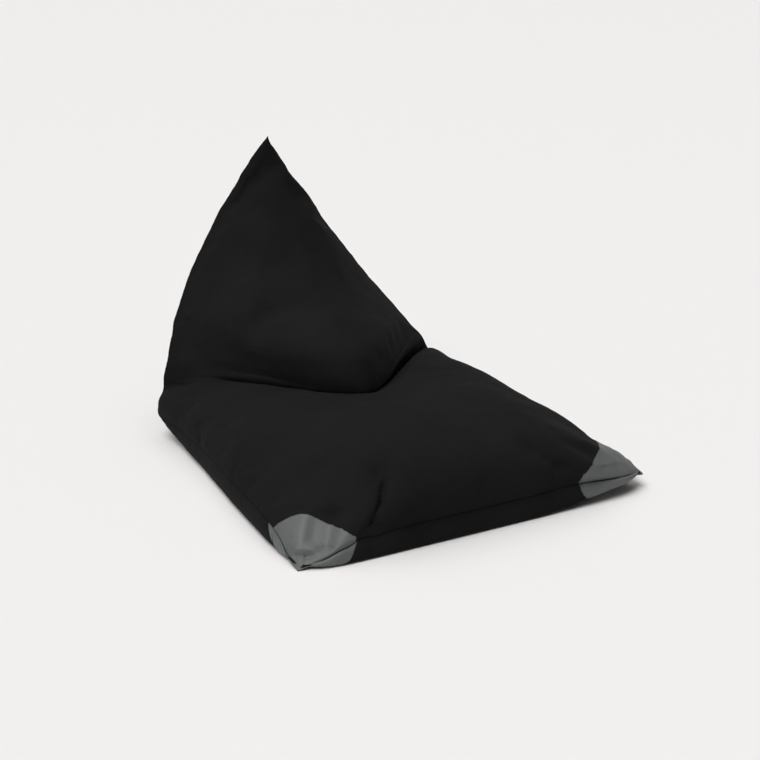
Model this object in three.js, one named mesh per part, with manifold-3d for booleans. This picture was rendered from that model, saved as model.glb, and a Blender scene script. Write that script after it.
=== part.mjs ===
// Outdoor pouf: a bean-filled floor lounger of black cloth with a low seat, a pointed back that leans on its own
// filling, a deep crease between them, and grey cloth patches round both front corners.
// Millimetres. +X to the right, +Y to the back, +Z up. The tables are laid out from the middle of the front edge,
// and the last lines move the whole part so that its origin is under the middle of its box.
import * as THREE from 'three';
import { mergeVertices } from 'three/addons/utils/BufferGeometryUtils.js';
import Module from 'manifold-3d';

// Driving dimensions
const FRONT_WIDTH = 1050; // between the two front points
const PATCH_CLOTH = 2.5; // thickness of a grey patch
const GAP = 0.3; // room between two pieces side by side
const ROOM_BELOW = 0.45; // room under a patch
const SHORTEST = 0.02; // no facet edge is left shorter than this
const SAME_PLACE = 0.01; // two corners of facets this close are one
const ACROSS = 36; // facets from side seam to side seam
const ROWS_PER_SECTION = 2.1;

// Sections of the bag from the front seam, over the seat and the crease, up the back to the peak.
// half: half width between the two side seams. seamY, seamZ: where the side seams run.
// topX, topY, topZ: the middle of the upper panel. leftEdge, leftFall, rightEdge, rightFall: how its depth gives
// way to each seam. zEdge, zFall: the same for its height. baseY, baseZ: the middle of the base and back panel.
// byEdge, byFall, bzEdge, bzFall: how that panel gives way to the seam. bulge: how far it swells out past the seam.
const SECTION_COLUMNS = [
  'half', 'seamY', 'seamZ', 'topX', 'topY', 'topZ', 'leftEdge', 'rightEdge', 'leftFall', 'rightFall',
  'zEdge', 'zFall', 'baseY', 'baseZ', 'byEdge', 'byFall', 'bzEdge', 'bzFall', 'bulge',
];
const SECTIONS = [
  /* front seam  */ [525, -9, 1, 0, -27, 60, 8, 8, 1, 1, 6, 1, -27, 60, 8, 1, 6, 1, 0],
  /* front face  */ [525, 12, 6, 0, -42, 106, 6, 6, 1, 1, 3.4, 0.72, -40, 28, 8, 1, 6, 1, 2],
  /* front top   */ [524, 46, 17, 0, -24, 160, 5, 5, 1, 1, 3, 0.66, -37, 3, 8, 1, 6, 1, 7],
  /* front roll  */ [522, 108, 48, 0, 40, 205, 3, 3, 1, 1, 2.8, 0.74, 15, -6, 4, 1, 8, 0.7, 14],
  /* seat front  */ [519, 225, 66, 0, 170, 226, 2.5, 2.5, 1, 1, 2.7, 0.74, 190, -8, 3, 1, 8, 0.6, 15],
  /* seat middle */ [509, 425, 68, 4, 330, 222, 2.2, 2.2, 1.2, 1.2, 2.8, 0.66, 400, -8, 3, 1, 8, 0.6, 14],
  /* seat rear   */ [490, 660, 68, 8, 475, 204, 2, 2, 2, 1.6, 3.8, 0.39, 640, -8, 3, 1, 8, 0.6, 13],
  /* seat end    */ [488, 860, 68, 12, 572, 184, 1.8, 1.7, 2.8, 1.8, 5, 0.33, 850, -8, 3, 1, 7, 0.6, 8],
  /* rear corner */ [500, 1010, 74, 14, 612, 172, 1.8, 1.35, 3, 1.35, 5, 0.25, 1060, -8, 3, 1, 5, 0.7, 0],
  /* crease      */ [470, 1040, 138, 4, 640, 162, 1.8, 1.3, 3, 1.35, 4, 0.42, 1190, 40, 3, 1, 4, 0.8, 0],
  /* belly under */ [462, 1053, 164, -2, 592, 174, 1.8, 1.25, 3, 1.2, 3, 0.6, 1240, 90, 3, 0.8, 3, 0.8, 0],
  /* belly nose  */ [452, 1068, 185, -6, 578, 189, 1.8, 1.25, 3.1, 1.2, 2, 1.2, 1270, 135, 3, 0.8, 3, 0.8, 0],
  /* belly front */ [439, 1084, 205, -12, 597, 234, 1.9, 1.3, 3.1, 1.2, 2, 1.1, 1290, 170, 2.8, 0.8, 3, 0.8, 0],
  /* belly top   */ [418, 1115, 238, -14, 655, 296, 2, 1.4, 2.9, 1.2, 2, 1, 1312, 220, 2.5, 0.8, 3, 0.8, 0],
  /* back foot   */ [383, 1165, 298, -12, 790, 352, 2, 1.5, 2.1, 1.15, 2, 1, 1345, 295, 2.2, 0.8, 3, 0.8, 0],
  /* back low    */ [343, 1210, 356, 4, 925, 414, 2, 1.4, 1.5, 1.1, 2, 1, 1372, 370, 2, 0.8, 3, 0.8, 0],
  /* back middle */ [281, 1250, 450, 22, 1040, 500, 1.7, 1.4, 1.1, 1.0, 2, 1, 1390, 470, 2, 0.8, 3, 0.8, 0],
  /* back high   */ [177, 1289, 600, 42, 1166, 630, 1.6, 1.4, 0.95, 0.9, 2, 1, 1380, 610, 2, 0.8, 3, 0.8, 0],
  /* neck        */ [104, 1292, 700, 36, 1222, 716, 1.6, 1.4, 0.9, 0.85, 2, 1, 1348, 705, 2, 0.8, 3, 0.8, 0],
  /* tip         */ [34, 1284, 800, 12, 1262, 803, 2, 2, 0.8, 0.8, 2, 1, 1302, 802, 2, 0.8, 3, 0.8, 0],
  /* peak        */ [0, 1264, 850, 0, 1264, 850, 2, 2, 1, 1, 2, 1, 1264, 850, 2, 1, 3, 1, 0],
];

// The two front corners. thin: how much the filling thins out towards the point, within thinReach of it.
// lift: how far the filling holds the point off the floor, within liftAcross and liftBack of it.
// alongFront, alongSide: where the inner edge of the grey patches meets the front seam and the side seam, from the
// point. bendAcross, bendBack: where that edge is drawn to on its way. lean, slant: how fast the edge of the upper
// patch runs towards the point on its way up, and that of the lower patch on its way down.
const CORNERS = [
  { name: 'left', side: -1, thin: 0.5, thinReach: 280, lift: 0, liftAcross: 300, liftBack: 200,
    alongFront: 161, alongSide: 152, bendAcross: 105, bendBack: 141, lean: 0.66, slant: 1.2 },
  { name: 'right', side: 1, thin: 0.68, thinReach: 330, lift: 38, liftAcross: 400, liftBack: 190,
    alongFront: 273, alongSide: 230, bendAcross: 202, bendBack: -15, lean: 1.09, slant: 1.1 },
];

// Folds and dents pressed into the upper panel: from and to are places on it, across from -1 to 1 and along in
// sections, then half the width of the trough and its depth.
const FOLD_COLUMNS = ['fromAcross', 'fromAlong', 'toAcross', 'toAlong', 'width', 'depth'];
const FOLDS = [
  /* pinch beside the left patch      */ [-0.53, 2.9, -0.62, 1.0, 34, 16],
  /* dent beside the left patch       */ [-0.72, 2.6, -0.7, 1.2, 40, 9],
  /* pinch beside the right patch     */ [0.3, 2.5, 0.44, 1.2, 36, 12],
  /* pull from the right patch        */ [0.5, 2.8, 0.72, 2.0, 32, 9],
  /* fold behind the left corner      */ [-0.93, 7.0, -0.82, 8.4, 34, 9],
  /* dent on the left side            */ [-0.93, 6.2, -0.97, 5.6, 40, 9],
  /* dent across the left of the back */ [-0.62, 16.2, -0.2, 15.7, 60, 7],
  /* dent low on the left of the back */ [-0.42, 14.3, -0.12, 14.4, 60, 7],
];

const CORNER_SECTIONS = 6; // how many sections the work on a corner takes in
const CORNER_ACROSS = 0.2; // and how far across it starts
const BRIM = 60; // how far the working surfaces run out past the seams
const BRIM_SLOPE = 3; // and how steeply they turn there
const SWEEP = 260; // and how far they are swept inwards
const EDGE_STEPS = 8;
const FRONT_SWELL = 20; // how far the front swells out over its seam
const FRONT_LEAN = 12; // how far the patch edge leans to the point on that swell
const SIDE_END_SECTION = 3; // the section nearest to the patches' ends on the side seams
const ABOVE = 200; // higher than any part of a corner
const BELOW = -30;
const PARTING_OVERLAP = 1; // how far the hollows for the upper and lower patches reach into each other
const PARTING_RISE = 0.06; // slope of the face between the work above a seam and below it, on the way in
const DIAGONAL = Math.SQRT1_2; // share of a level step that goes back, and across, on the way in from a point
const SWELL_PEAK = 0.45; // draws the fullest place of the base panel's side towards its seam
const CALM_EDGE = 12; // how close to the side seams the folds run before they fade
const BULGE_TO_ROUND = 18; // bulge that makes the base panel's side one power rounder
const BLACK = 0x1b1b1c;
const GREY = 0x6d7573;

const wasm = await Module();
wasm.setup();

function named(columns, row) {
  return Object.fromEntries(columns.map((name, i) => [name, row[i]]));
}

function mix(a, b, t) {
  return a + (b - a) * t;
}

function fall(u, edge, power) {
  return Math.max(0, 1 - Math.abs(u) ** edge) ** power;
}

// A smooth curve through four neighbouring rows of the table.
function glide(a, b, c, d, t) {
  const slopeIn = (c - a) / 2;
  const slopeOut = (d - b) / 2;
  const t2 = t * t;
  const t3 = t2 * t;
  return b * (2 * t3 - 3 * t2 + 1) + slopeIn * (t3 - 2 * t2 + t) + c * (3 * t2 - 2 * t3) + slopeOut * (t3 - t2);
}

function sectionAt(along) {
  const last = SECTIONS.length - 1;
  const k = Math.min(Math.floor(along), last - 1);
  const rows = [Math.max(k - 1, 0), k, k + 1, Math.min(k + 2, last)].map((i) => SECTIONS[i]);
  const row = SECTION_COLUMNS.map((name, i) => glide(rows[0][i], rows[1][i], rows[2][i], rows[3][i], along - k));
  return named(SECTION_COLUMNS, row);
}

function nearCorner(corner, x, y, reachAcross, reachBack) {
  const away = Math.hypot((x - (corner.side * FRONT_WIDTH) / 2) / reachAcross, y / reachBack);
  return away < 1 ? (1 - away * away) ** 2 : 0;
}

function cornerLift(x, y) {
  return CORNERS.reduce((sum, c) => sum + c.lift * nearCorner(c, x, y, c.liftAcross, c.liftBack), 0);
}

function cornerFill(x, y) {
  return CORNERS.reduce((fill, c) => fill * (1 - c.thin * nearCorner(c, x, y, c.thinReach, c.thinReach)), 1);
}

function smoothUpper(u, along) {
  const s = sectionAt(along);
  const x = s.half * u + s.topX * (1 - u * u);
  const y = mix(s.seamY, s.topY, u < 0 ? fall(u, s.leftEdge, s.leftFall) : fall(u, s.rightEdge, s.rightFall));
  const z = mix(s.seamZ, s.topZ, fall(u, s.zEdge, s.zFall) * cornerFill(x, y));
  return new THREE.Vector3(x, y, z + cornerLift(x, y));
}

function basePoint(u, along) {
  const s = sectionAt(along);
  const inFromSeam = 1 - Math.abs(u);
  const roundness = 1 + s.bulge / BULGE_TO_ROUND;
  const swell = s.bulge * Math.sin(Math.PI * inFromSeam ** SWELL_PEAK);
  const x = Math.sign(u) * (s.half * (1 - inFromSeam ** roundness) + swell);
  const y = mix(s.seamY, s.baseY, fall(u, s.byEdge, s.byFall));
  const fill = mix(cornerFill(x, y), 1, Math.min(1, along / 2));
  const z = mix(s.seamZ, s.baseZ, fall(u, s.bzEdge, s.bzFall) * fill);
  return new THREE.Vector3(x, y, Math.max(0, z + cornerLift(x, y)));
}

const folds = FOLDS.map((row) => {
  const f = named(FOLD_COLUMNS, row);
  const line = new THREE.Line3(smoothUpper(f.fromAcross, f.fromAlong), smoothUpper(f.toAcross, f.toAlong));
  return { line, width: f.width, depth: f.depth };
});

function upperPoint(u, along) {
  const point = smoothUpper(u, along);
  const nearest = new THREE.Vector3();
  const depth = folds.reduce((sum, f) => {
    f.line.closestPointToPoint(point, true, nearest);
    return sum + f.depth * Math.exp(-((point.distanceTo(nearest) / f.width) ** 2));
  }, 0);
  const step = 0.01;
  const alongStep = smoothUpper(u, along + step).sub(smoothUpper(u, along));
  const acrossStep = smoothUpper(u + step, along).sub(smoothUpper(u - step, along));
  const inward = alongStep.cross(acrossStep);
  const rim = fall(u, CALM_EDGE, 1) * Math.min(1, along);
  return inward.lengthSq() > 0 ? point.addScaledVector(inward.normalize(), depth * rim) : point;
}

// The closed body between two nets of points, of which the first lies above the second.
function bodyBetween(upper, lower) {
  const down = upper.length;
  const across = upper[0].length;
  const points = [...upper.flat(), ...lower.flat()];
  const below = down * across;
  const index = [];
  const quad = (a, b, c, d) => index.push(a, b, c, a, c, d);
  for (let j = 0; j < down - 1; j += 1) {
    for (let i = 0; i < across - 1; i += 1) {
      const a = j * across + i;
      quad(a, a + 1, a + across + 1, a + across);
      quad(below + a, below + a + across, below + a + across + 1, below + a + 1);
    }
    const [left, right] = [j * across, (j + 1) * across - 1];
    quad(below + left, left, left + across, below + left + across);
    quad(right, below + right, below + right + across, right + across);
  }
  for (let i = 0; i < across - 1; i += 1) {
    const back = (down - 1) * across + i;
    quad(below + i, below + i + 1, i + 1, i);
    quad(back, back + 1, below + back + 1, below + back);
  }
  const loose = new THREE.BufferGeometry();
  loose.setAttribute('position', new THREE.Float32BufferAttribute(points.flatMap((p) => p.toArray()), 3));
  loose.setIndex(index);
  const merged = mergeVertices(loose, SAME_PLACE);
  const ids = merged.getIndex().array;
  const triVerts = [];
  for (let i = 0; i < ids.length; i += 3) {
    const [a, b, c] = [ids[i], ids[i + 1], ids[i + 2]];
    if (a !== b && b !== c && c !== a) triVerts.push(a, b, c);
  }
  const vertProperties = Float32Array.from(merged.getAttribute('position').array);
  return new wasm.Manifold(new wasm.Mesh({ numProp: 3, vertProperties, triVerts: Uint32Array.from(triVerts) }));
}

function geometryOf(solid) {
  const { vertProperties, triVerts } = solid.getMesh();
  const geometry = new THREE.BufferGeometry();
  geometry.setAttribute('position', new THREE.Float32BufferAttribute(vertProperties, 3));
  geometry.setIndex(Array.from(triVerts));
  return geometry;
}

const DOWN = Math.round((SECTIONS.length - 1) * ROWS_PER_SECTION);

function rowPlace(j) {
  return ((SECTIONS.length - 1) * j) / DOWN;
}

function columnPlace(i) {
  return Math.sin((Math.PI / 2) * ((2 * i) / ACROSS - 1));
}

function netOf(pointAt, rows, columns) {
  return rows.map((j) => columns.map((i) => pointAt(columnPlace(i), rowPlace(j))));
}

// One sheet of a corner at a depth under its surface, with a brim past both seams.
function cornerSheet(corner, pointAt, depth, outward) {
  const rows = range(DOWN + 1).filter((j) => rowPlace(j) <= CORNER_SECTIONS);
  const columns = range(ACROSS + 1).filter((i) => corner.side * columnPlace(i) >= CORNER_ACROSS);
  const net = netOf(pointAt, rows, columns);
  const placed = net.map((row, j) => row.map((point, i) => {
    const normal = netNormal(net, j, i).multiplyScalar(outward);
    return point.clone().addScaledVector(normal, -depth);
  }));
  const turn = -outward * BRIM_SLOPE * BRIM;
  const brimmed = [placed[0].map((p) => p.clone().add(new THREE.Vector3(0, -BRIM, turn))), ...placed];
  const out = new THREE.Vector3(corner.side * BRIM, 0, turn);
  return brimmed.map((row) => (corner.side > 0
    ? [...row, row[row.length - 1].clone().add(out)]
    : [row[0].clone().add(out), ...row]));
}

function netNormal(net, j, i) {
  const normal = new THREE.Vector3();
  const at = (dj, di) => (net[j + dj] ? net[j + dj][i + di] : undefined);
  [[0, 1, 1, 0], [1, 0, 0, -1], [0, -1, -1, 0], [-1, 0, 0, 1]].forEach(([aj, ai, bj, bi]) => {
    const [a, b] = [at(aj, ai), at(bj, bi)];
    if (a && b) normal.add(a.clone().sub(net[j][i]).cross(b.clone().sub(net[j][i])));
  });
  return normal.normalize();
}

function range(count) {
  return [...Array(count).keys()];
}

function swept(net, direction) {
  return net.map((row) => row.map((p) => p.clone().addScaledVector(direction, SWEEP)));
}

// What lies inside both sheets of a corner, further in than depth.
function cornerCore(corner, depth) {
  const upper = cornerSheet(corner, upperPoint, depth, 1);
  const lower = cornerSheet(corner, basePoint, depth, -1);
  const down = new THREE.Vector3(-DIAGONAL * corner.side, DIAGONAL, -1).normalize();
  const up = new THREE.Vector3(-DIAGONAL * corner.side, DIAGONAL, 1).normalize();
  return bodyBetween(upper, swept(upper, down)).intersect(bodyBetween(swept(lower, up), lower));
}

// Everything above the seams of a corner, or everything below them, with the seam line carried on inwards.
function seamSide(corner, above, clearance) {
  const inward = new THREE.Vector3(-DIAGONAL * corner.side, DIAGONAL, 0);
  const front = range(ACROSS + 1).map(columnPlace).filter((u) => corner.side * u >= CORNER_ACROSS)
    .map((u) => upperPoint(u, 0));
  const side = range(DOWN + 1).map(rowPlace).filter((v) => v > 0 && v <= CORNER_SECTIONS)
    .map((v) => upperPoint(corner.side, v));
  const seam = corner.side > 0 ? [...front, ...side] : [...side.reverse(), ...front];
  const lineAt = (reach, z) => seam
    .map((p) => p.clone().addScaledVector(inward, reach).setZ(z ?? p.z + clearance + PARTING_RISE * reach));
  const parting = [lineAt(-2 * BRIM), lineAt(SWEEP)];
  const far = [lineAt(-2 * BRIM, above ? ABOVE : BELOW), lineAt(SWEEP, above ? ABOVE : BELOW)];
  return above ? bodyBetween(far, parting) : bodyBetween(parting, far);
}

// A level line moved sideways by one distance, to its left where the distance is positive.
function grownAlong(path, distance) {
  const last = path.length - 1;
  const runs = range(last).map((k) => path[k + 1].clone().sub(path[k]).normalize());
  return path.map((p, k) => {
    const run = runs[Math.max(k - 1, 0)].clone().add(runs[Math.min(k, last - 1)]);
    return p.clone().addScaledVector(new THREE.Vector3(-run.y, run.x, 0).normalize(), distance);
  });
}

// The upright block over a corner, out to the inner edge of its patch.
function cornerBlock(corner, slant, grow) {
  const tip = upperPoint(corner.side, 0);
  const seamEnd = upperPoint(corner.side * (1 - corner.alongFront / (FRONT_WIDTH / 2)), 0);
  const sideSeamHeight = sectionAt(SIDE_END_SECTION).seamZ;
  const placeAt = (across, back, z) => new THREE.Vector3(tip.x - corner.side * across, tip.y + back, z);
  const outlineAt = (z) => {
    const shorter = slant * (seamEnd.z - z);
    const front = placeAt(corner.alongFront - shorter, seamEnd.y - tip.y - FRONT_SWELL, z);
    const bend = placeAt(corner.bendAcross - shorter / 2, corner.bendBack, z);
    const side = placeAt(0, corner.alongSide + slant * (z - sideSeamHeight), z);
    const edge = new THREE.QuadraticBezierCurve3(front, bend, side).getPoints(EDGE_STEPS);
    const frontOut = front.clone().add(new THREE.Vector3(corner.side * FRONT_LEAN, FRONT_SWELL - BRIM, 0));
    const sideOut = side.clone().add(new THREE.Vector3(corner.side * BRIM, 0, 0));
    const pointOut = placeAt(-BRIM, -2 * BRIM, z);
    const path = grownAlong([frontOut, ...edge, sideOut], corner.side * grow);
    const inner = path.slice(1, -1);
    const rim = range(EDGE_STEPS + 1).map((k) => (k * 2 <= EDGE_STEPS
      ? path[0].clone().lerp(pointOut, (2 * k) / EDGE_STEPS)
      : pointOut.clone().lerp(path[path.length - 1], (2 * k) / EDGE_STEPS - 1)));
    return corner.side > 0 ? [rim, inner] : [rim.reverse(), inner.reverse()];
  };
  return bodyBetween(outlineAt(ABOVE), outlineAt(BELOW));
}

const everyRow = range(DOWN + 1);
const everyColumn = range(ACROSS + 1);
const whole = bodyBetween(netOf(upperPoint, everyRow, everyColumn), netOf(basePoint, everyRow, everyColumn));

const black = new THREE.MeshStandardMaterial({ color: BLACK, roughness: 0.85, metalness: 0 });
const grey = new THREE.MeshStandardMaterial({ color: GREY, roughness: 0.7, metalness: 0 });
const pouf = new THREE.Group();

// A cut can leave a chip of no size beside the piece itself.
function mainPart(solid) {
  return solid.decompose().reduce((best, part) => (part.volume() > best.volume() ? part : best));
}

function addPiece(name, solid, material) {
  const mesh = new THREE.Mesh(geometryOf(mainPart(solid).simplify(SHORTEST)), material);
  mesh.name = name;
  pouf.add(mesh);
}

let bag = whole;
for (const corner of CORNERS) {
  const cloth = whole.subtract(cornerCore(corner, PATCH_CLOTH));
  const upper = cornerBlock(corner, -corner.lean, 0).intersect(seamSide(corner, true, GAP / 2));
  const lower = cornerBlock(corner, corner.slant, 0).intersect(seamSide(corner, false, -GAP / 2));
  addPiece(`${corner.name}_upper_patch`, cloth.intersect(upper), grey);
  addPiece(`${corner.name}_lower_patch`, cloth.intersect(lower), grey);
  const over = cornerBlock(corner, -corner.lean, GAP).intersect(seamSide(corner, true, -PARTING_OVERLAP));
  const under = cornerBlock(corner, corner.slant, GAP).intersect(seamSide(corner, false, PARTING_OVERLAP));
  bag = bag.subtract(over.add(under).subtract(cornerCore(corner, PATCH_CLOTH + ROOM_BELOW)));
}
addPiece('bag', bag, black);

const box = new THREE.Box3().setFromObject(pouf);
pouf.position.set(-(box.min.x + box.max.x) / 2, -(box.min.y + box.max.y) / 2, -box.min.z);
export default pouf;
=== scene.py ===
# Outdoor pouf: a bean-filled floor lounger of black cloth with grey cloth round both front corners.
# The tables are in millimetres, laid out from the middle of the front edge, and every piece is turned into
# metres about the origin of the frame.
import math
import bpy
import numpy as np
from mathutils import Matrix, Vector, noise


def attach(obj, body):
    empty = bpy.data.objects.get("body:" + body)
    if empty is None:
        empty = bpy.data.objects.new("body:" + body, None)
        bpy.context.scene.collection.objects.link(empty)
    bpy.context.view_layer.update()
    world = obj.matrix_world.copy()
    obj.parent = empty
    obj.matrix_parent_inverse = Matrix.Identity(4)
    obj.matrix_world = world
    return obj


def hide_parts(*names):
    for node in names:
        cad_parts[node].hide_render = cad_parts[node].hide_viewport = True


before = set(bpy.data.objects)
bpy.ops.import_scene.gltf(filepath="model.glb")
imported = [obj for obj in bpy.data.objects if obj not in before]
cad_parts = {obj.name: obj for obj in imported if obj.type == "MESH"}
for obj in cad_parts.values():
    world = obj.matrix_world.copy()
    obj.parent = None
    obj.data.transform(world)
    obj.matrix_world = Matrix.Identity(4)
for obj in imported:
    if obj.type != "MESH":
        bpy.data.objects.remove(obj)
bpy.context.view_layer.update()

# Where the tables' origin lies in the frame
CENTRE_BACK = 673.88
MM = 0.001

# Driving dimensions
FRONT_WIDTH = 1050
FRONT_SWELL = 20  # how far the front face swells past its seam
GRID_STEP = 6.6  # between the mesh points of the bag
PANEL_RUN = 1180  # the longest way across a panel, over its crown

# The crease's opening: its depth, its row along the bag, how many rows it spans, and the lip above it
POCKET_DEPTH = 58
POCKET_ROW, POCKET_ROWS = 9.1, 0.45
LIP_HEIGHT, LIP_ROW, LIP_ROWS = 15, 10.5, 0.5

# The grey patches: how far the cloth stands over the bag, sinks at its hem and reaches into the bag,
# the bag's recess for it, the room left at the seam between upper and lower patch, and the mesh
PATCH_ABOVE = 0.7
PATCH_SUNK = 0.5
PATCH_BELOW = 1.6
RECESS = 2.3
SEAM_ROOM = 0.25
PATCH_COLUMNS = 44
PATCH_STEP = 4.5
PATCH_BAND = 4  # heights over the seam that share one edge line

# Under a patch the bag's rim draws in, more so at its tip. The hem's painted shade line, which stands for the
# shade in its seam groove, fades out towards the tip.
RIM_TUCK = 4
TIP_TUCK = 9
TIP_CLEAR = 6
TIP_REACH = 60

# Gathers along a seam: how deep, and for the side and the front seam their spacing, reach and rise
GATHER_DEPTH = 3.2
SIDE_SPACING, SIDE_REACH, SIDE_RISE = 21, 26, 7
FRONT_SPACING, FRONT_REACH, FRONT_RISE = 17, 22, 6
FRONT_SHARE = 0.8

# Unevenness of the filling: height, size and seed
LUMPS = ((2.6, 210, 1), (1.1, 74, 3), (0.35, 26, 4))
CALM_RIM = 14  # folds and lumps fade out this far from a seam
FLOOR_RISE = 30  # and this far over the floor, where gathers and lumps do too

# Kinks of the front seam beside the left patch: place across, half width and height, then their reach
KINKS = ((-362, 26, 13), (-415, 30, 6))
KINK_REACH = 34
KINK_FADE = 4000

# The wavy side seams of the back: height, length and reach of a wave, and the rows where it sets in
WAVE_HEIGHT, WAVE_LENGTH, WAVE_REACH = 4.5, 44, 18
WAVE_ROWS = (9.5, 11)

# Slack cloth of the upper panel: grid rows to one of the simulation, the most that it moves, and its settings
SPACING = 4
MOST_SWELL = 8
SLACK_FRAMES = 20
SLACK_STRETCH = 0.008
SLACK_BENDING = 4
SLACK_PRESSURE = 2

# Angles over which an edge is shaded sharp, in degrees
BAG_SHARP, PATCH_SHARP = 48, 60

# Sections of the bag from the front seam, over the seat and the crease, up the back to the peak
SECTION_COLUMNS = (
    "half seam_y seam_z top_x top_y top_z y_edge right_edge left_fall right_fall z_edge z_fall "
    "base_y base_z by_edge by_fall bz_edge bz_fall bulge"
).split()
SECTIONS = [
    [525, -9, 1, 0, -27, 60, 8, 8, 1, 1, 6, 1, -27, 60, 8, 1, 6, 1, 0],
    [525, 12, 6, 0, -42, 106, 6, 6, 1, 1, 3.4, 0.72, -40, 28, 8, 1, 6, 1, 2],
    [524, 46, 17, 0, -24, 160, 5, 5, 1, 1, 3, 0.66, -37, 3, 8, 1, 6, 1, 7],
    [522, 108, 48, 0, 40, 205, 3, 3, 1, 1, 2.8, 0.74, 15, -6, 4, 1, 8, 0.7, 14],
    [519, 225, 66, 0, 170, 226, 2.5, 2.5, 1, 1, 2.7, 0.74, 190, -8, 3, 1, 8, 0.6, 15],
    [509, 425, 68, 4, 330, 222, 2.2, 2.2, 1.2, 1.2, 2.8, 0.66, 400, -8, 3, 1, 8, 0.6, 14],
    [490, 660, 68, 8, 475, 204, 2, 2, 2, 1.6, 3.8, 0.39, 640, -8, 3, 1, 8, 0.6, 13],
    [488, 860, 68, 12, 572, 184, 1.8, 1.7, 2.8, 1.8, 5, 0.33, 850, -8, 3, 1, 7, 0.6, 8],
    [500, 1010, 74, 14, 612, 172, 1.8, 1.35, 3, 1.35, 5, 0.25, 1060, -8, 3, 1, 5, 0.7, 0],
    [470, 1040, 138, 4, 640, 162, 1.8, 1.3, 3, 1.35, 4, 0.42, 1190, 40, 3, 1, 4, 0.8, 0],
    [462, 1053, 164, -2, 592, 174, 1.8, 1.25, 3, 1.2, 3, 0.6, 1240, 90, 3, 0.8, 3, 0.8, 0],
    [452, 1068, 185, -6, 578, 189, 1.8, 1.25, 3.1, 1.2, 2, 1.2, 1270, 135, 3, 0.8, 3, 0.8, 0],
    [439, 1084, 205, -12, 597, 234, 1.9, 1.3, 3.1, 1.2, 2, 1.1, 1290, 170, 2.8, 0.8, 3, 0.8, 0],
    [418, 1115, 238, -14, 655, 296, 2, 1.4, 2.9, 1.2, 2, 1, 1312, 220, 2.5, 0.8, 3, 0.8, 0],
    [383, 1165, 298, -12, 790, 352, 2, 1.5, 2.1, 1.15, 2, 1, 1345, 295, 2.2, 0.8, 3, 0.8, 0],
    [343, 1210, 356, 4, 925, 414, 2, 1.4, 1.5, 1.1, 2, 1, 1372, 370, 2, 0.8, 3, 0.8, 0],
    [281, 1250, 450, 22, 1040, 500, 1.7, 1.4, 1.1, 1.0, 2, 1, 1390, 470, 2, 0.8, 3, 0.8, 0],
    [177, 1289, 600, 42, 1166, 630, 1.6, 1.4, 0.95, 0.9, 2, 1, 1380, 610, 2, 0.8, 3, 0.8, 0],
    [104, 1292, 700, 36, 1222, 716, 1.6, 1.4, 0.9, 0.85, 2, 1, 1348, 705, 2, 0.8, 3, 0.8, 0],
    [34, 1284, 800, 12, 1262, 803, 2, 2, 0.8, 0.8, 2, 1, 1302, 802, 2, 0.8, 3, 0.8, 0],
    [0, 1264, 850, 0, 1264, 850, 2, 2, 1, 1, 2, 1, 1264, 850, 2, 1, 3, 1, 0],
]
LAST = len(SECTIONS) - 1
EVENED_COLUMNS = ("top_x", "top_y", "top_z", "y_edge", "left_fall", "z_edge", "z_fall")

# The front corners: how the filling thins and lifts, and where the inner edge of the grey patches runs
CORNERS = {
    "left": dict(side=-1, thin=0.5, thin_reach=280, lift=0, lift_across=300, lift_back=200,
                 along_front=161, along_side=152, bend_across=105, bend_back=141, lean=0.66, slant=1.2),
    "right": dict(side=1, thin=0.68, thin_reach=330, lift=38, lift_across=400, lift_back=190,
                  along_front=273, along_side=230, bend_across=202, bend_back=-15, lean=1.09, slant=1.1),
}

# Broad folds pressed into the upper panel: from and to as places across and along, width, depth
FOLDS = [
    (-0.53, 2.9, -0.62, 1.0, 34, 16),
    (-0.72, 2.6, -0.7, 1.2, 40, 9),
    (0.3, 2.5, 0.44, 1.2, 36, 12),
    (0.5, 2.8, 0.72, 2.0, 32, 9),
    (-0.93, 7.0, -0.82, 8.4, 34, 9),
    (-0.93, 6.2, -0.97, 5.6, 40, 9),
    (-0.62, 16.2, -0.2, 15.7, 60, 7),
    (-0.42, 14.3, -0.12, 14.4, 60, 7),
]

# Fine creases of the cloth: two places in space, half width and depth. A negative depth is a ridge.
CREASES = [
    # the pinch beside the left patch, from the seat down to the seam
    (-275, 24, 178, -306, -12, 138, 7, 6),
    (-306, -12, 138, -330, -34, 92, 6, 5),
    (-258, 20, 180, -284, -18, 138, 13, -4),
    (-330, 15, 150, -345, -20, 112, 15, -4),
    (-249, 11, 176, -243, -22, 150, 12, 4),
    # folds of the left patch
    (-512, 24, 22, -482, -8, 32, 6, 6),
    (-505, 34, 34, -476, 6, 44, 9, -5),
    (-470, 6, 52, -440, -16, 44, 8, 4),
    (-408, 44, 98, -450, -8, 50, 25, 12),
    (-372, -18, 66, -392, 4, 86, 15, -3),
    (-420, -20, 40, -408, -30, 22, 7, 3),
    # the pull from the right patch
    (158, 4, 183, 190, -24, 156, 9, 4),
    (190, -24, 156, 240, -38, 118, 9, 3),
    (253, 36, 182, 403, 53, 111, 17, -6),
    (240, 12, 170, 372, 18, 116, 13, 4),
    (225, -34, 133, 311, -37, 84, 9, 4),
    (262, -30, 126, 330, -28, 98, 10, -3),
    # wrinkles down the left side
    (-469, 736, 122, -493, 702, 72, 8, 5),
    (-455, 690, 132, -497, 655, 82, 12, -3),
    (-500, 434, 84, -470, 470, 150, 9, 4),
    (-447, 1041, 151, -386, 1022, 159, 6, 4),
    (-465, 980, 146, -430, 900, 162, 14, 4),
    (-429, 637, 152, -415, 600, 168, 18, 3),
    (-428, 371, 160, -446, 340, 150, 18, 3),
    (-429, 200, 150, -440, 175, 138, 16, 3),
]

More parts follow.
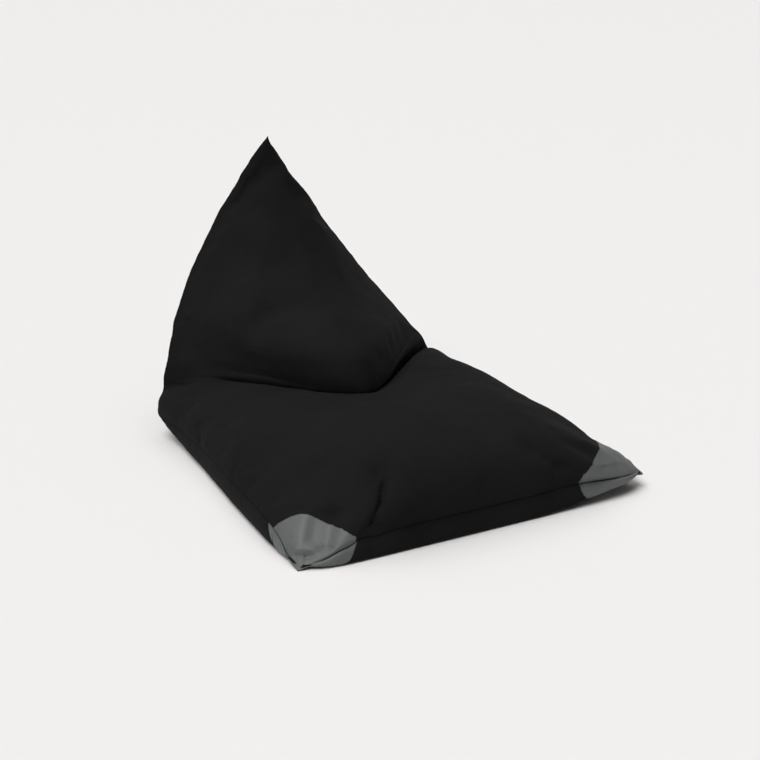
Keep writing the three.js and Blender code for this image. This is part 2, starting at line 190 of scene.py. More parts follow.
# Step folds: the cloth stands up on the left of the line and drops on its right. Places in space, then
# height, how far the fold reaches to the left, to the right, and over how much the step turns.
STEPS = [
    ((-262, 42, 172), (-292, 14, 146), (-305, -5, 125), (-322, -19, 98), 6.5, 34, 26, 4),
    ((-436, 91, 106), (-446, 74, 94), (-467, 51, 70), (-492, 18, 37), 9.0, 40, 62, 15),
    ((-524, 72, 40), (-512, 62, 44), (-500, 60, 50), 3.0, 8, 9, 3),
    ((478, 13, 70), (413, -10, 85), (350, -28, 90), (303, -31, 96), 3.0, 26, 24, 6),
]


def rows_of_sections(reach, spread):
    """The section table drawn as smooth curves, densely sampled, and evened out over a spread of rows."""
    table = np.array(SECTIONS, float)
    steps = 100
    along = np.linspace(0, LAST, LAST * steps + 1)
    k = np.minimum(along.astype(int), LAST - 1)
    t = (along - k)[:, None]
    a, b, c, d = (table[np.clip(k + n, 0, LAST)] for n in (-1, 0, 1, 2))
    slope_in, slope_out = (c - a) / 2, (d - b) / 2
    curve = (b * (2 * t**3 - 3 * t**2 + 1) + slope_in * (t**3 - 2 * t**2 + t)
             + c * (3 * t**2 - 2 * t**3) + slope_out * (t**3 - t**2))
    weights = np.exp(-0.5 * (np.arange(-reach, reach + 1) / spread) ** 2)
    weights /= weights.sum()
    before = 2 * curve[0] - curve[reach:0:-1]
    after = 2 * curve[-1] - curve[-2:-reach - 2:-1]
    padded_curve = np.vstack([before, curve, after])
    columns = [np.convolve(column, weights, "valid") for column in padded_curve.T]
    return along, np.stack(columns, 1)


ALONG, CURVES = rows_of_sections(22, 9.0)
_, SOFT_CURVES = rows_of_sections(260, 95.0)


def section_at(along, soft=0.0):
    """The section at a place along the bag, with the crease evened out where soft is 1."""
    section = {}
    for n, name in enumerate(SECTION_COLUMNS):
        section[name] = np.interp(along, ALONG, CURVES[:, n])
        if name in EVENED_COLUMNS:
            section[name] = mix(section[name], np.interp(along, ALONG, SOFT_CURVES[:, n]), soft)
    return section


def fall(u, edge, power):
    """From 1 in the middle of a section to 0 at its seams."""
    return np.maximum(0, 1 - np.abs(u) ** edge) ** power


def mix(a, b, t):
    return a + (b - a) * t


def smooth_step(low, high, value):
    t = np.clip((value - low) / (high - low), 0, 1)
    return t * t * (3 - 2 * t)


def pocket(u, along):
    """How far the crease opens: under the right edge of the back, and a little left of the middle."""
    right = smooth_step(0.12, 0.3, u) * (1 - smooth_step(0.9, 1.0, u))
    left = 0.62 * np.exp(-(((u + 0.42) / 0.14) ** 2))
    opening = POCKET_DEPTH * (right + left) * np.exp(-(((along - POCKET_ROW) / POCKET_ROWS) ** 2))
    right_lip = smooth_step(0.25, 0.5, u) * (1 - smooth_step(0.93, 1.0, u))
    left_lip = 0.5 * np.exp(-(((u + 0.45) / 0.15) ** 2))
    lip = LIP_HEIGHT * (right_lip + left_lip)
    return opening - lip * np.exp(-(((along - LIP_ROW) / LIP_ROWS) ** 2))


def near_corner(corner, x, y, across, back):
    """From 1 at a front corner to 0 at the given distances from it."""
    away = np.hypot((x - corner["side"] * FRONT_WIDTH / 2) / across, y / back)
    return np.where(away < 1, (1 - np.minimum(away, 1) ** 2) ** 2, 0)


def corner_lift(x, y):
    return sum(c["lift"] * near_corner(c, x, y, c["lift_across"], c["lift_back"])
               for c in CORNERS.values())


def corner_fill(x, y):
    fill = 1
    for c in CORNERS.values():
        fill = fill * (1 - c["thin"] * near_corner(c, x, y, c["thin_reach"], c["thin_reach"]))
    return fill


def upper_point(u, along):
    """The upper panel without its folds, for arrays of places across and along."""
    u, along = np.broadcast_arrays(np.asarray(u, float), np.asarray(along, float))
    near_crease = smooth_step(7.6, 8.6, along) * (1 - smooth_step(12.2, 13.4, along))
    middle = 0.45 * np.exp(-(((u + 0.12) / 0.13) ** 2))
    evened = near_crease * (smooth_step(0.5, 0.85, -u) + middle)
    s = section_at(along, evened)
    x = s["half"] * u + s["top_x"] * (1 - u * u)
    side_fall = np.where(u < 0, s["left_fall"], s["right_fall"])
    side_edge = np.where(u < 0, s["y_edge"], s["right_edge"])
    y = mix(s["seam_y"], s["top_y"], fall(u, side_edge, side_fall))
    z = mix(s["seam_z"], s["top_z"], fall(u, s["z_edge"], s["z_fall"]) * corner_fill(x, y))
    return np.stack([x, y, z + corner_lift(x, y) - pocket(u, along)], -1)


def base_point(u, along):
    """The base and back panel."""
    u, along = np.broadcast_arrays(np.asarray(u, float), np.asarray(along, float))
    s = section_at(along)
    inner = np.clip(1 - np.abs(u), 0, 1)
    bulge = np.maximum(0, s["bulge"])
    swell = bulge * np.sin(np.pi * inner**0.45)
    x = np.sign(u) * (np.maximum(0, s["half"]) * (1 - inner ** (1 + bulge / 18)) + swell)
    y = mix(s["seam_y"], s["base_y"], fall(u, s["by_edge"], s["by_fall"]))
    fill = mix(corner_fill(x, y), 1, np.minimum(1, along / 2))
    z = mix(s["seam_z"], s["base_z"], fall(u, s["bz_edge"], s["bz_fall"]) * fill)
    return np.stack([x, y, np.maximum(0, z + corner_lift(x, y))], -1)


def lengths(points, axis=0):
    """How far each point lies along its line."""
    steps = np.linalg.norm(np.diff(points, axis=axis), axis=-1)
    zero = np.zeros_like(np.take(steps, [0], axis=axis))
    return np.concatenate([zero, np.cumsum(steps, axis=axis)], axis=axis)


def even_rows():
    """Places along the bag, about a grid step apart where the panels are longest."""
    along = np.linspace(0, LAST, 4001)
    lines = (-0.98, -0.5, 0, 0.5, 0.98)
    upper_runs = [np.diff(lengths(upper_point(u, along))) for u in lines]
    base_runs = [np.diff(lengths(base_point(u, along))) * 0.6 for u in lines]
    steps = np.max(upper_runs + base_runs, axis=0)
    total = np.concatenate([[0], np.cumsum(steps)])
    count = int(total[-1] / GRID_STEP)
    return np.interp(np.linspace(0, total[-1], count + 1), total, along)


def even_net(pointer, along, columns):
    """Points of one panel, evenly spread across each row, and where they lie across."""
    dense = np.sin(np.linspace(-np.pi / 2, np.pi / 2, 601))
    places = np.zeros((len(along), columns + 1))
    for j, v in enumerate(along):
        run = lengths(pointer(dense, v))
        spread = np.linspace(0, 1, columns + 1) * run[-1]
        places[j] = np.interp(spread, run, dense) if run[-1] > 0 else np.linspace(-1, 1, columns + 1)
    return places, pointer(places, along[:, None])


def normals_at(pointer, u, along, outward):
    """Directions square to a panel, pointing out of the bag."""
    step = 0.002
    across = pointer(np.clip(u + step, -1, 1), along) - pointer(np.clip(u - step, -1, 1), along)
    down = pointer(u, np.clip(along + step, 0, LAST)) - pointer(u, np.clip(along - step, 0, LAST))
    normal = np.cross(down, across) * -outward
    return normal / np.maximum(np.linalg.norm(normal, axis=-1, keepdims=True), 1e-9)


def to_segment(points, a, b):
    """Distance from each point to the line from a to b."""
    a, b = np.asarray(a, float), np.asarray(b, float)
    t = np.clip(((points - a) @ (b - a)) / ((b - a) @ (b - a)), 0, 1)
    return np.linalg.norm(points - (a + t[..., None] * (b - a)), axis=-1)


def step_fold(points, line, height, left, right, turn):
    """How far a step fold pushes the cloth in, over a line through three or more places."""
    best = np.full(points.shape[:-1], 1e9)
    side = np.zeros(points.shape[:-1])
    ends = np.zeros(points.shape[:-1])
    line = np.asarray(line, float)
    for k, (a, b) in enumerate(zip(line[:-1], line[1:])):
        share = ((points - a) @ (b - a)) / ((b - a) @ (b - a))
        t = np.clip(share, 0, 1)
        away = points - (a + t[..., None] * (b - a))
        d = np.linalg.norm(away, axis=-1)
        cross = (b - a)[0] * away[..., 1] - (b - a)[1] * away[..., 0]
        near = d < best
        side = np.where(near, np.sign(cross) * d, side)
        ends = np.where(near, (k + t) / (len(line) - 1), ends)
        best = np.minimum(best, d)
    reach = np.where(side < 0, left, right)
    calm = smooth_step(0, 0.2, ends) * (1 - 0.6 * smooth_step(0.8, 1, ends))
    return height * np.tanh(side / turn) * np.exp(-((best / reach) ** 1.5)) * calm


def broken(points, size, seed, octaves=2):
    """Soft unevenness from -1 to 1, size millimetres across."""
    flat = points.reshape(-1, 3) / size + seed * 17.3
    out = np.array([noise.fractal(Vector(p), 1.0, 2.0, octaves) for p in flat])
    return out.reshape(points.shape[:-1])


def rim_distance(pointer, u, along):
    """How far each place on a panel is from its nearer side seam and from its front seam."""
    u, along = np.broadcast_arrays(u, along)
    steps = 16
    side = np.zeros(u.shape)
    front = np.zeros(u.shape)
    last_side, last_front = pointer(u, along), pointer(u, along)
    end = np.where(u < 0, -1.0, 1.0)
    for n in range(1, steps + 1):
        t = n / steps
        here_side = pointer(end - (end - u) * (1 - t) ** 2, along)
        here_front = pointer(u, along * (1 - t) ** 2)
        side += np.linalg.norm(here_side - last_side, axis=-1)
        front += np.linalg.norm(here_front - last_front, axis=-1)
        last_side, last_front = here_side, here_front
    return side, front


def along_rim(along):
    """How far along the side seam each row starts."""
    dense = np.linspace(0, LAST, 1001)
    return np.interp(along, dense, lengths(upper_point(1.0, dense)))


def pucker(points, side, front, run):
    """Gathers of the cloth where a seam draws it in, fading away from the seam."""
    x = points[..., 0]
    side_places = np.stack([run / SIDE_SPACING, run * 0 + 3, np.sign(x) * 40], -1)
    front_places = np.stack([x / FRONT_SPACING, x * 0 + 9, x * 0], -1)
    wave_side = np.abs(broken(side_places, 1, 2, 1))
    wave_front = np.abs(broken(front_places, 1, 5, 1))
    return -GATHER_DEPTH * (
        wave_side * np.exp(-side / SIDE_REACH) * np.minimum(1, side / SIDE_RISE)
        + FRONT_SHARE * wave_front * np.exp(-front / FRONT_REACH) * np.minimum(1, front / FRONT_RISE))


def dressed(pointer, u, along, outward):
    """Places on a panel with its folds, creases, gathers and unevenness, and the normals there."""
    points = pointer(u, along)
    u, along = np.broadcast_arrays(u, along)
    normal = normals_at(pointer, u, along, outward)
    side, front = rim_distance(pointer, u, along)
    rim = np.minimum(1, side / CALM_RIM) * np.minimum(1, front / CALM_RIM)
    depth = np.zeros(u.shape)
    if outward > 0:
        for u0, v0, u1, v1, width, deep in FOLDS:
            d = to_segment(points, upper_point(u0, v0), upper_point(u1, v1))
            depth += deep * np.exp(-((d / width) ** 2))
        for x0, y0, z0, x1, y1, z1, width, deep in CREASES:
            d = to_segment(points, (x0, y0, z0), (x1, y1, z1))
            depth += deep * np.exp(-np.abs(d / width) ** 1.6)
        for *line, height, left, right, turn in STEPS:
            depth += step_fold(points, line, height, left, right, turn)
    lumps = sum(height * broken(points, size, seed) for height, size, seed in LUMPS)
    off_floor = np.clip(points[..., 2] / FLOOR_RISE, 0, 1)
    run = along_rim(along)
    lift = (lumps * rim + pucker(points, side, front, run)) * off_floor - depth * rim
    placed = points + normal * lift[..., None]
    x = points[..., 0]
    kink = sum(height * np.exp(-(((x - place) / width) ** 2)) for place, width, height in KINKS)
    placed[..., 2] += kink * np.exp(-((front / KINK_REACH) ** 2)) * np.exp(-side / KINK_FADE)
    wave = broken(np.stack([run / WAVE_LENGTH, along * 0 + 5, np.sign(u) * 31], -1), 1, 6, 1)
    wave_reach = np.exp(-side / WAVE_REACH) * smooth_step(*WAVE_ROWS, along)
    placed[..., 0] += np.sign(u) * WAVE_HEIGHT * wave * wave_reach
    return placed, normal, side, front


def mesh_object(name, points, faces, uv, attributes):
    """A smooth mesh in metres, placed in the frame."""
    points = np.asarray(points, float) * MM
    points[:, 1] -= CENTRE_BACK * MM
    mesh = bpy.data.meshes.new(name)
    mesh.from_pydata(points.tolist(), [], faces)
    layer = mesh.uv_layers.new(name="cloth")
    loops = np.zeros(len(mesh.loops), np.int32)
    mesh.loops.foreach_get("vertex_index", loops)
    layer.data.foreach_set("uv", (np.asarray(uv)[loops] * MM).ravel())
    for key, values in attributes.items():
        layer = mesh.attributes.new(key, "FLOAT", "POINT")
        layer.data.foreach_set("value", np.asarray(values, np.float32))
    mesh.polygons.foreach_set("use_smooth", [True] * len(mesh.polygons))
    mesh.update()
    piece = bpy.data.objects.new(name, mesh)
    bpy.context.scene.collection.objects.link(piece)
    return piece


def cleaned(faces):
    """The faces without repeated corners, and without those that then have no area."""
    out = []
    for face in faces:
        ring = [v for n, v in enumerate(face) if v != face[n - 1]]
        if len(set(ring)) > 2:
            out.append(ring)
    return out


def seam_end(corner):
    """Where a patch's inner edge meets the front seam."""
    return upper_point(corner["side"] * (1 - corner["along_front"] / (FRONT_WIDTH / 2)), 0.0)


def patch_edge(corner, shorter):
    """The inner edge of a patch, as a line over the ground."""
    side = corner["side"]
    tip = upper_point(side, 0.0)
    front_back = seam_end(corner)[1] - tip[1]

    def place(across, back):
        return np.array([tip[0] - side * across, tip[1] + back])

    front = place(corner["along_front"] - shorter, front_back - FRONT_SWELL)
    bend = place(corner["bend_across"] - shorter / 2, corner["bend_back"])
    end = place(0, corner["along_side"] - shorter)
    t = np.linspace(0, 1, 25)[:, None]
    curve = (1 - t) ** 2 * front + 2 * t * (1 - t) * bend + t**2 * end
    before = place(corner["along_front"] - shorter - 12, front_back - 60)
    after = end + np.array([side * 60.0, 0])
    return np.vstack([before, curve, after])


def edge_side(edge, side, xy):
    """Signed distance over the ground from a patch's inner edge, positive towards the point."""
    best = np.full(xy.shape[:-1], 1e9)
    sign = np.ones(xy.shape[:-1])
    for a, b in zip(edge[:-1], edge[1:]):
        t = np.clip(((xy - a) @ (b - a)) / ((b - a) @ (b - a)), 0, 1)
        away = xy - (a + t[..., None] * (b - a))
        d = np.linalg.norm(away, axis=-1)
        turn = (b - a)[0] * away[..., 1] - (b - a)[1] * away[..., 0]
        sign = np.where(d < best, -np.sign(turn) * side, sign)
        best = np.minimum(best, d)
    return best * sign


def inside_patches(net, lower):
    """How far inside a grey patch each point of a panel lies, negative outside."""
    inside = np.full(net.shape[:-1], -1e9)
    for corner in CORNERS.values():
        x, y = net[..., 0], net[..., 1]
        close = (np.sign(x) == corner["side"]) & (y < 420) & (np.abs(x) > 180)
        points = net[close]
        above = points[:, 2] - seam_end(corner)[2]
        shorter = corner["slant"] * -above if lower else corner["lean"] * above
        values = np.full(len(points), -1e9)
        for k in range(-80, 120, PATCH_BAND):
            pick = (shorter >= k) & (shorter < k + PATCH_BAND)
            if pick.any():
                edge = patch_edge(corner, k + PATCH_BAND / 2)
                values[pick] = edge_side(edge, corner["side"], points[pick][:, :2])
        inside[close] = np.maximum(inside[close], values)
    return inside


# The bag

def filled_out(net, inside, side, front, along):
    """How far each place of a panel moves when its slack cloth fills out between its seams."""
    free = smooth_step(0, 45, side) * smooth_step(0, 45, front) * smooth_step(4, 40, -inside)
    row = along[:, None]
    free = free * (1 - smooth_step(7.9, 8.7, row) * (1 - smooth_step(11.5, 12.6, row)))
    rough = net[:-SPACING:SPACING, ::SPACING] * MM
    held = 1 - free[:-SPACING:SPACING, ::SPACING]
    down, across = held.shape
    corners = [j * across + i for j in range(down - 1) for i in range(across - 1)]
    faces = [(a, a + 1, a + across + 1, a + across) for a in corners]
    mesh = bpy.data.meshes.new("slack")
    mesh.from_pydata(rough.reshape(-1, 3).tolist(), [], faces)
    slack = bpy.data.objects.new("slack", mesh)
    scene = bpy.context.scene
    scene.collection.objects.link(slack)
    group = slack.vertex_groups.new(name="held")
    for n, weight in enumerate(held.ravel()):
        group.add([n], float(weight), "REPLACE")
    cloth = slack.modifiers.new("cloth", "CLOTH")
    cloth.settings.vertex_group_mass = "held"
    cloth.settings.quality = 6
    cloth.settings.bending_stiffness = SLACK_BENDING
    cloth.settings.shrink_min = -SLACK_STRETCH
    cloth.settings.use_pressure = True
    cloth.settings.uniform_pressure_force = SLACK_PRESSURE
    cloth.settings.effector_weights.gravity = 0
    cloth.point_cache.frame_start = 1
    cloth.point_cache.frame_end = SLACK_FRAMES
    for n in range(1, SLACK_FRAMES + 1):
        scene.frame_set(n)
    settled = slack.evaluated_get(bpy.context.evaluated_depsgraph_get()).to_mesh()
    places = np.zeros(len(settled.vertices) * 3, np.float32)
    settled.vertices.foreach_get("co", places)
    moved = (places.reshape(rough.shape) - rough) / MM
    scene.frame_set(1)
    bpy.data.objects.remove(slack)
    far = np.linalg.norm(moved, axis=-1, keepdims=True)
    moved = moved * np.minimum(1, MOST_SWELL / np.maximum(far, 1e-6))
    rows, columns = np.arange(net.shape[0]) / SPACING, np.arange(net.shape[1]) / SPACING
    tall = np.stack([[np.interp(rows, np.arange(down), moved[:, i, n]) for i in range(across)]
                     for n in range(3)])
    wide = np.stack([[np.interp(columns, np.arange(across), tall[n, :, j]) for j in range(len(rows))]
                     for n in range(3)], -1)
    return wide * free[..., None]


def make_bag():
    """Both black panels as one closed mesh, with half as many columns on the base."""
    along = even_rows()
    columns = 2 * int(PANEL_RUN / GRID_STEP / 2)
    upper_u, _ = even_net(upper_point, along, columns)
    base_u, _ = even_net(base_point, along, columns)
    rows = len(along) - 1
    upper, upper_n, upper_side, upper_front = dressed(upper_point, upper_u, along[:, None], 1)
    base, base_n, base_side, base_front = dressed(base_point, base_u, along[:, None], -1)
    upper_in = inside_patches(upper, False)
    base_in = inside_patches(base, True)
    upper = upper + filled_out(upper, upper_in, upper_side, upper_front, along)
    upper = upper - upper_n * (RECESS * smooth_step(0.5, 6, upper_in))[..., None]
    base = base - base_n * (RECESS * smooth_step(0.5, 6, base_in))[..., None]
    for here in (np.s_[0, :], np.s_[:, 0], np.s_[:, -1]):
        rim = (upper[here] + base[here]) / 2
        inside = np.minimum(upper_in[here], base_in[here])
        tuck = RIM_TUCK * smooth_step(0, 8, inside) + TIP_TUCK * smooth_step(55, 100, inside)
        tuck = tuck * math.sqrt(0.5)
        rim[:, 0] -= np.sign(rim[:, 0]) * tuck
        rim[:, 1] += tuck
        upper[here] = base[here] = rim
    base = base[:, ::2]
    half = columns // 2
    first = rows * (columns + 1) + 1

    def top_id(j, i):
        return rows * (columns + 1) if j == rows else j * (columns + 1) + i

    def low_id(j, i):
        if j in (0, rows) or i in (0, half):
            return top_id(j, 2 * i)
        return first + (j - 1) * (half - 1) + i - 1

    faces = [(top_id(j, i), top_id(j, i + 1), top_id(j + 1, i + 1), top_id(j + 1, i))
             for j in range(rows) for i in range(columns)]
    for j in range(rows):
        for i in range(half):
            ring = [low_id(j, i), low_id(j + 1, i), low_id(j + 1, i + 1), low_id(j, i + 1)]
            if j == 0:
                ring.append(top_id(0, 2 * i + 1))
            faces.append(tuple(ring))

    def joined(over, under):
        """Values of the upper panel, of the peak, and of the base inside its rim, in the mesh's order."""
        width = over.shape[2]
        return np.vstack([over[:-1].reshape(-1, width), over[-1:, 0], under[1:-1, 1:-1].reshape(-1, width)])

    def from_middle(net):
        run = lengths(net, axis=1)
        return run - run[:, -1:] / 2

    upper_uv = np.stack([from_middle(upper), upper_front], -1)
    base_uv = np.stack([from_middle(base), base_front[:, ::2]], -1)
    upper_seam = np.minimum(upper_side, upper_front)
    base_seam = np.minimum(base_side, base_front)[:, ::2]
    # Distance to the nearer seam, which drives the painted seam shade of the black cloth.
    seam = joined(upper_seam[..., None], base_seam[..., None]).ravel()
    piece = mesh_object("bag_cover", joined(upper, base), cleaned(faces), joined(upper_uv, base_uv),
                        {"seam": seam})
    piece.data.set_sharp_from_angle(angle=math.radians(BAG_SHARP))
    return piece


# A grey patch: a sheet of its own thickness, let into the bag's face

def patch_rows(corner, pointer, lower):
    """Places along the bag for a patch's rows, out to where it ends on the side seam."""
    dense = np.linspace(0, 5, 1001)
    rim = inside_patches(pointer(float(corner["side"]), dense), lower)
    end = dense[np.argmax(rim < 0)]
    run = lengths(pointer(corner["side"] * 0.9, dense))
    count = int(np.interp(end, dense, run) / PATCH_STEP)
    return np.interp(np.linspace(0, np.interp(end, dense, run), count), run, dense)


def make_patch(name, corner, lower):
    """One grey sheet, and the area of its cut in square metres."""
    pointer = base_point if lower else upper_point
    outward = -1 if lower else 1
    side = corner["side"]
    along = patch_rows(corner, pointer, lower)
    columns = PATCH_COLUMNS
    spread = np.linspace(0, 1, columns + 1)
    spread = 0.5 * spread + 0.25 * (1 - np.cos(np.pi * spread))
    dense = side * np.sin(np.linspace(0.15, np.pi / 2, 500))
    places = np.zeros((len(along), columns + 1))
    for j, v in enumerate(along):
        line = pointer(dense, v)
        inside = inside_patches(line, lower)
        outside = np.nonzero(inside < 0)[0]
        k = min(outside[-1] + 1, len(dense) - 1) if len(outside) else 0
        start = dense[k]
        if 0 < k < len(dense) - 1:
            share = -inside[k - 1] / (inside[k] - inside[k - 1])
            start = mix(dense[k - 1], dense[k], share)
        fine = side * np.sin(np.linspace(np.arcsin(abs(start)), np.pi / 2, 120))
        run = lengths(pointer(fine, v))
        places[j] = side * np.interp(spread * run[-1], run, side * fine)
    places[-1] = side
    points, normal, rim_side, rim_front = dressed(pointer, places, along[:, None], outward)
    inside = inside_patches(pointer(places, along[:, None]), lower)
    hem = np.minimum(np.minimum(np.abs(inside), rim_side), rim_front)
    from_tip = np.linalg.norm(points - pointer(float(side), 0.0), axis=-1)
    # The hem distance that drives the painted seam shade of the grey cloth, raised near the tip so the shade
    # line fades out there.
    line = hem + TIP_CLEAR * (1 - smooth_step(0.2, 1.0, from_tip / TIP_REACH))
    top = -PATCH_SUNK + (PATCH_ABOVE + PATCH_SUNK) * smooth_step(0, 2.5, hem)
    outer = points + normal * top[..., None]
    inner = points - normal * PATCH_BELOW
    nudge = np.array([0, 0, -SEAM_ROOM if lower else SEAM_ROOM])
    outer, inner = outer + nudge, inner + nudge * 0.5
    rows = len(along)
    wide = columns + 1
    count = rows * wide
    faces = []
    for j in range(rows - 1):
        for i in range(columns):
            a = j * wide + i
            faces.append((a, a + 1, a + wide + 1, a + wide))
            faces.append((count + a, count + a + wide, count + a + wide + 1, count + a + 1))
        left, right = j * wide, j * wide + columns
        faces.append((left, left + wide, count + left + wide, count + left))
        faces.append((right, count + right, count + right + wide, right + wide))
    for i in range(columns):
        faces.append((i, count + i, count + i + 1, i + 1))
    if (side > 0) == lower:
        faces = [face[::-1] for face in faces]
    uv = np.stack([points[..., 0], rim_front], -1).reshape(-1, 2)
    everything = np.vstack([outer.reshape(-1, 3), inner.reshape(-1, 3)])
    piece = mesh_object(name, everything, faces, np.vstack([uv, uv]),
                        {"hem": np.tile(line.ravel(), 2)})
    piece.data.set_sharp_from_angle(angle=math.radians(PATCH_SHARP))
    area = sum(face.area for face in piece.data.polygons) / 2
    return piece, area


# Cloth

def new_node(tree, kind, **settings):
    """A shader node with its sockets or, where it has no such socket, its properties set."""
    node = tree.nodes.new(kind)
    for key, value in settings.items():
        if key in node.inputs:
            node.inputs[key].default_value = value
        else:
            setattr(node, key, value)
    return node


def cloth_material(name, dark, light, roughness, ior, sheen, thread, relief, seam_shade_attribute):
    """Tightly woven coated cloth: softly varied colour, a fine weave, and painted shade: a darker line down
    each seam, for the shade in its groove.
    """
    material = bpy.data.materials.new(name)
    material.use_nodes = True
    tree = material.node_tree
    link = tree.links.new
    shader = tree.nodes["Principled BSDF"]
    shader.inputs["Roughness"].default_value = roughness
    shader.inputs["Sheen Weight"].default_value = sheen
    shader.inputs["Sheen Roughness"].default_value = 0.45
    shader.inputs["IOR"].default_value = ior
    where = new_node(tree, "ShaderNodeTexCoord")
    cloud = new_node(tree, "ShaderNodeTexNoise", Scale=5.5, Detail=4.0, Roughness=0.55)
    link(where.outputs["Object"], cloud.inputs["Vector"])
    fleck = new_node(tree, "ShaderNodeTexNoise", Scale=420.0, Detail=2.0, Roughness=0.6)
    link(where.outputs["Object"], fleck.inputs["Vector"])
    both = new_node(tree, "ShaderNodeMath", operation="MULTIPLY")
    link(cloud.outputs["Fac"], both.inputs[0])
    link(fleck.outputs["Fac"], both.inputs[1])
    ramp = new_node(tree, "ShaderNodeMapRange")
    ramp.inputs["From Min"].default_value = 0.12
    ramp.inputs["From Max"].default_value = 0.4
    link(both.outputs[0], ramp.inputs["Value"])
    colour = new_node(tree, "ShaderNodeMix", data_type="RGBA")
    colour.inputs["A"].default_value = (*dark, 1)
    colour.inputs["B"].default_value = (*light, 1)
    link(ramp.outputs["Result"], colour.inputs["Factor"])
    # Painted shade: within a few millimetres of a seam the colour darkens to 0.45, for the shade that falls
    # in the seam's groove.
    seam = new_node(tree, "ShaderNodeAttribute", attribute_name=seam_shade_attribute)
    line = new_node(tree, "ShaderNodeMapRange")
    line.inputs["From Min"].default_value = 0.5
    line.inputs["From Max"].default_value = 3.5
    line.inputs["To Min"].default_value = 0.45
    line.inputs["To Max"].default_value = 1.0
    link(seam.outputs["Fac"], line.inputs["Value"])
    shade = new_node(tree, "ShaderNodeMix", data_type="RGBA", blend_type="MULTIPLY")
    shade.inputs["Factor"].default_value = 1.0
    link(colour.outputs["Result"], shade.inputs["A"])
    link(line.outputs["Result"], shade.inputs["B"])
    link(shade.outputs["Result"], shader.inputs["Base Color"])
    cloth = new_node(tree, "ShaderNodeUVMap", uv_map="cloth")
    weaves = []
    for direction in ("X", "Y"):
        wave = new_node(tree, "ShaderNodeTexWave", wave_type="BANDS", bands_direction=direction)
        wave.inputs["Scale"].default_value = thread
        wave.inputs["Distortion"].default_value = 0.6
        wave.inputs["Detail"].default_value = 1.0
        link(cloth.outputs["UV"], wave.inputs["Vector"])
        weaves.append(wave)
    weave = new_node(tree, "ShaderNodeMath", operation="MULTIPLY")
    link(weaves[0].outputs["Fac"], weave.inputs[0])
    link(weaves[1].outputs["Fac"], weave.inputs[1])
    rumple = new_node(tree, "ShaderNodeTexNoise", Scale=34.0, Detail=4.0, Roughness=0.55)
    link(where.outputs["Object"], rumple.inputs["Vector"])
    fine = new_node(tree, "ShaderNodeBump", Strength=0.35, Distance=0.0003)
    link(weave.outputs[0], fine.inputs["Height"])
    broad = new_node(tree, "ShaderNodeBump", Strength=relief, Distance=0.004)
    link(rumple.outputs["Fac"], broad.inputs["Height"])
    link(fine.outputs["Normal"], broad.inputs["Normal"])
    link(broad.outputs["Normal"], shader.inputs["Normal"])
    return material


black_cloth = cloth_material(
    "black_cloth", dark=(0.0085, 0.0085, 0.0088), light=(0.0125, 0.0125, 0.0128), roughness=0.8,
    ior=1.12, sheen=0.008, thread=260.0, relief=0.25, seam_shade_attribute="seam")
grey_cloth = cloth_material(
    "grey_cloth", dark=(0.09, 0.096, 0.096), light=(0.116, 0.123, 0.122), roughness=0.48,
    ior=1.42, sheen=0.03, thread=300.0, relief=0.35, seam_shade_attribute="hem")

bag = make_bag()
bag.data.materials.append(black_cloth)
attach(bag, "root")
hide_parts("bag")

for corner_name, corner in CORNERS.items():
    for level, lower in (("upper", False), ("lower", True)):
        piece, area = make_patch(f"{corner_name}_{level}_cloth", corner, lower)
        piece.data.materials.append(grey_cloth)
        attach(piece, "root")
        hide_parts(f"{corner_name}_{level}_patch")


# Floor, light and camera

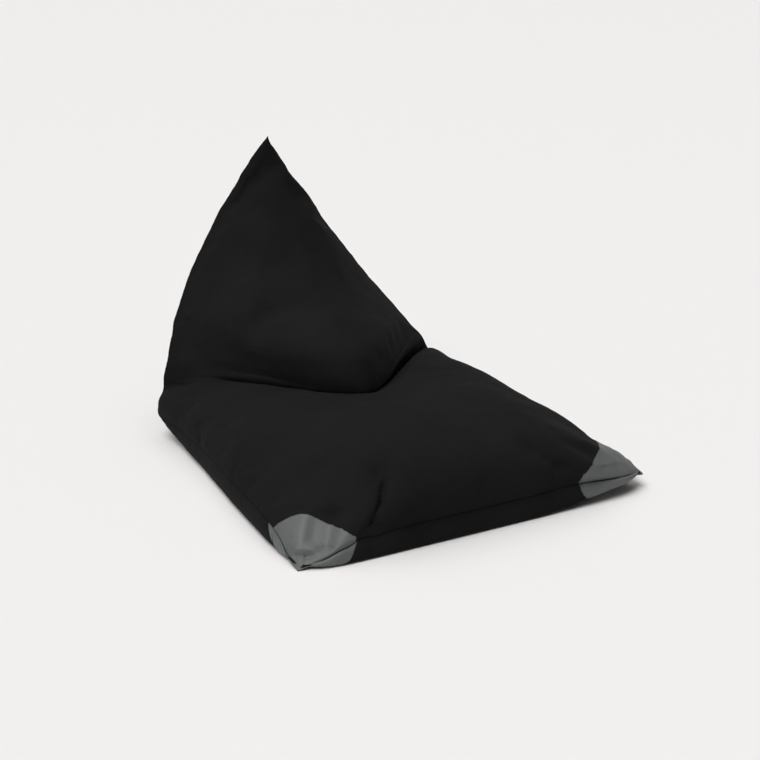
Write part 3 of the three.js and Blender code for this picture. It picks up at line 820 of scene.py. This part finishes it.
def make_floor():
    """A pale floor that reaches past the horizon."""
    reach = 400.0
    sides = 64
    turns = np.linspace(0, 2 * math.pi, sides + 1)[:-1]
    points = [(0, 0, 0)]
    points += [(reach * math.cos(turn), reach * math.sin(turn), 0) for turn in turns]
    faces = [(0, n + 1, (n + 1) % sides + 1) for n in range(sides)]
    mesh = bpy.data.meshes.new("floor")
    mesh.from_pydata(points, [], faces)
    mesh.polygons.foreach_set("use_smooth", [True] * len(mesh.polygons))
    floor = bpy.data.objects.new("floor", mesh)
    bpy.context.scene.collection.objects.link(floor)
    material = bpy.data.materials.new("studio_floor")
    material.use_nodes = True
    shader = material.node_tree.nodes["Principled BSDF"]
    shader.inputs["Base Color"].default_value = (0.83, 0.815, 0.805, 1)
    shader.inputs["Roughness"].default_value = 0.9
    shader.inputs["Specular IOR Level"].default_value = 0.1
    mesh.materials.append(material)


def make_sky():
    """Even studio light: as bright as the floor at the horizon, dimmer overhead."""
    world = bpy.data.worlds.new("studio")
    world.use_nodes = True
    tree = world.node_tree
    where = new_node(tree, "ShaderNodeTexCoord")
    split = new_node(tree, "ShaderNodeSeparateXYZ")
    tree.links.new(where.outputs["Generated"], split.inputs[0])
    ramp = new_node(tree, "ShaderNodeValToRGB")
    stops = ramp.color_ramp.elements
    stops[0].position, stops[0].color = 0.02, (0.835, 0.812, 0.8, 1)
    stops[1].position, stops[1].color = 0.07, (0.1, 0.1, 0.1, 1)
    tree.links.new(split.outputs["Z"], ramp.inputs[0])
    tree.links.new(ramp.outputs["Color"], tree.nodes["Background"].inputs["Color"])
    bpy.context.scene.world = world


def sun_light(name, place, width, power):
    """A soft, even light from a place towards the origin. The width is the angle it fills, in degrees."""
    data = bpy.data.lights.new(name, "SUN")
    data.angle = math.radians(width)
    data.energy = power
    lamp = bpy.data.objects.new(name, data)
    lamp.location = place
    lamp.rotation_euler = (-Vector(place)).to_track_quat("-Z", "Y").to_euler()
    bpy.context.scene.collection.objects.link(lamp)


make_floor()
make_sky()
sun_light("key", (-1.7, -0.6, 3.4), 42, 2.3)
sun_light("overhead", (0.4, 1.2, 3.2), 70, 1.1)

camera_data = bpy.data.cameras.new("camera")
camera_data.lens = 60
camera_data.sensor_width = 36
camera = bpy.data.objects.new("camera", camera_data)
camera.location = (-1.6790, (-2469.8 - CENTRE_BACK) * MM, 1.3573)
camera.rotation_euler = (math.radians(72), 0, math.radians(-29.24))
bpy.context.scene.collection.objects.link(camera)
bpy.context.scene.camera = camera
bpy.context.scene.view_settings.view_transform = "Standard"
